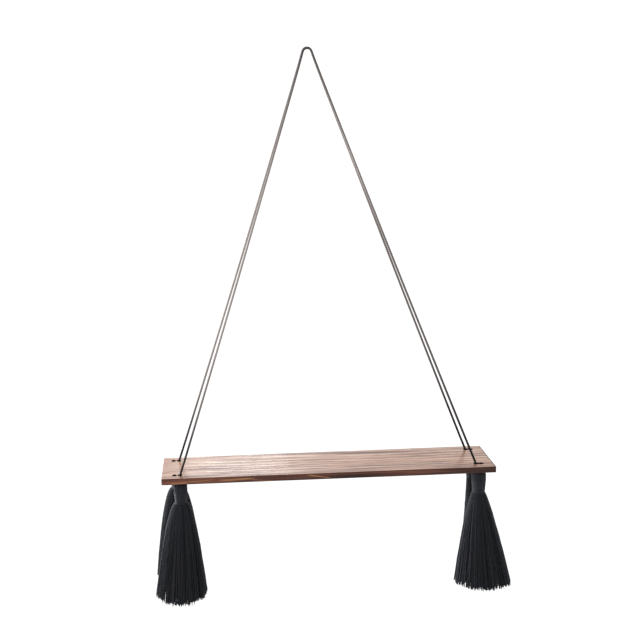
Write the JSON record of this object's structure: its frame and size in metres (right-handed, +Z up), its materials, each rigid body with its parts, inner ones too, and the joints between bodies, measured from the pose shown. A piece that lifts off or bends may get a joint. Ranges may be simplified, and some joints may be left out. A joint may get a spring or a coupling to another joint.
{
  "type": "rope wall shelf",
  "caption": "Hanging wall shelf: a stained wood plank carried by dark ropes from a hanging point, with a long yarn tassel under each rope end.",
  "frame": {"origin": "the hanging point, inside the bend where both ropes pass over what holds them", "axes": "+X right along the plank, +Y back to the wall, +Z up"},
  "size_m": [0.6565, 0.1353, 0.9822],
  "materials": {
    "wood": "stained and varnished, satin gloss",
    "rope": "twisted cotton cord",
    "yarn": "loose plied yarn",
    "binding": "tightly wound yarn"
  },
  "bodies": {
    "root": {"plank": "wood", "rope_front": "rope", "rope_back": "rope", "tassel_left_front": "yarn", "binding_left_front": "binding", "tassel_left_back": "yarn", "binding_left_back": "binding", "tassel_right_front": "yarn", "binding_right_front": "binding", "tassel_right_back": "yarn", "binding_right_back": "binding"}
  },
  "joints": []
}
